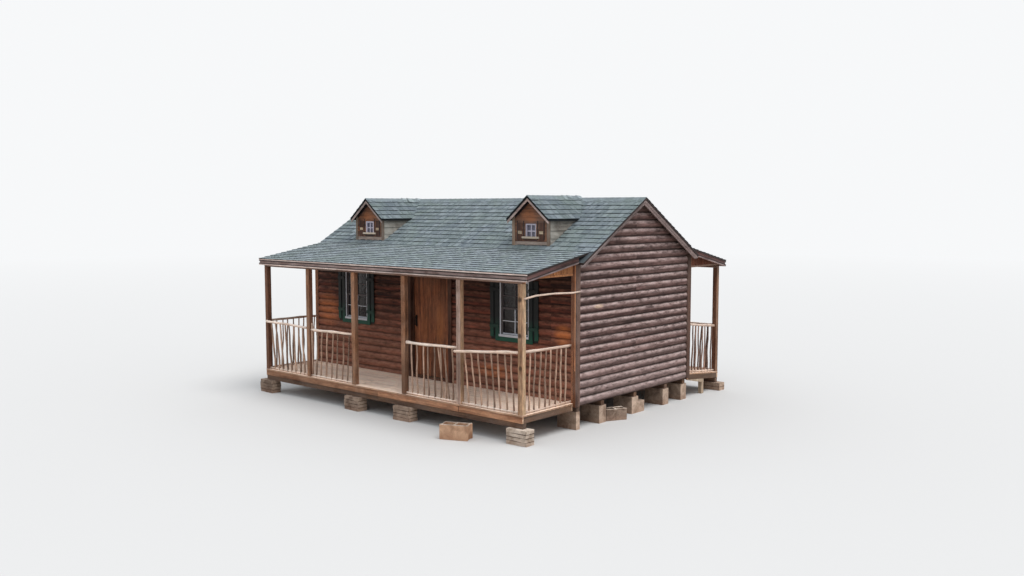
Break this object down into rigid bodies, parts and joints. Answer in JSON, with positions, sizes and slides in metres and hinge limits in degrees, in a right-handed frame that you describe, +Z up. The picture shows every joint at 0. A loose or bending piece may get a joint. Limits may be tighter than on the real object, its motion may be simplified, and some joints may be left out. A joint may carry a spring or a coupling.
{
  "type": "log cabin",
  "caption": "Small gabled log-sided cabin on skids and block piers, with a railed porch front and back, dormers, shuttered windows and a plank door that opens inwards.",
  "frame": {"origin": "on the ground under the middle of the plan, on the underside of the middle pier", "axes": "+X to the right along the front wall, +Y from the front porch to the rear porch, +Z up"},
  "size_m": [7.148, 6.7517, 3.888],
  "materials": {
    "concrete": "rough",
    "skid_timber": "weathered",
    "deck_timber": "weathered",
    "rim_timber": "weathered",
    "porch_log": "weathered",
    "gable_log": "weathered",
    "corner_timber": "weathered",
    "door_plank": "weathered",
    "black_iron": "satin",
    "white_frame": "satin",
    "clear_glass": "clear",
    "green_board": "painted",
    "shingle": "granular",
    "rake_timber": "weathered",
    "porch_timber": "weathered",
    "peeled_stick": "weathered",
    "end_board": "weathered",
    "dormer_board": "weathered"
  },
  "bodies": {
    "cabin": {"concrete_piers": "concrete", "loose_blocks": "concrete", "floor_skids": "skid_timber", "floor_rims": "skid_timber", "floor_joists": "skid_timber", "floor_boards": "deck_timber", "deck_rims": "rim_timber", "deck_joists": "skid_timber", "deck_runners": "skid_timber", "rear_deck_legs": "skid_timber", "front_deck_boards": "deck_timber", "rear_deck_boards": "deck_timber", "front_wall_left": "porch_log", "front_wall_right": "porch_log", "front_wall_over_door": "porch_log", "rear_wall": "porch_log", "left_gable_wall": "gable_log", "right_gable_wall": "gable_log", "corner_boards": "corner_timber", "door_jambs": "corner_timber", "door_head": "corner_timber", "door_sill": "corner_timber", "jamb_hinges": "black_iron", "rear_door": "door_plank", "rear_door_casing": "corner_timber", "rear_door_sill": "corner_timber", "window_frames": "white_frame", "window_glass": "clear_glass", "window_aprons": "green_board", "window_shutters": "green_board", "roof_trusses": "skid_timber", "main_roof_front": "shingle", "main_roof_rear": "shingle", "ridge_cap": "shingle", "front_porch_roof": "shingle", "rear_porch_roof": "shingle", "main_rake_boards": "rake_timber", "porch_trim": "rake_timber", "porch_rafters": "porch_timber", "porch_headers": "porch_timber", "porch_end_boards": "end_board", "porch_posts": "porch_timber", "front_railings": "peeled_stick", "rear_railings": "peeled_stick", "branch_pole": "peeled_stick", "dormer_walls": "dormer_board", "dormer_roofs": "shingle", "dormer_trim": "rake_timber"},
    "front_door": {"door_leaf": "door_plank", "door_latch": "black_iron", "leaf_hinges": "black_iron"}
  },
  "joints": [
    {"name": "front_door_hinge", "type": "hinge", "parent": "cabin", "child": "front_door", "pos_m": [0.4925, -1.6455, 1.5], "axis": [0, 0, -1], "range_deg": [0, 100]}
  ]
}
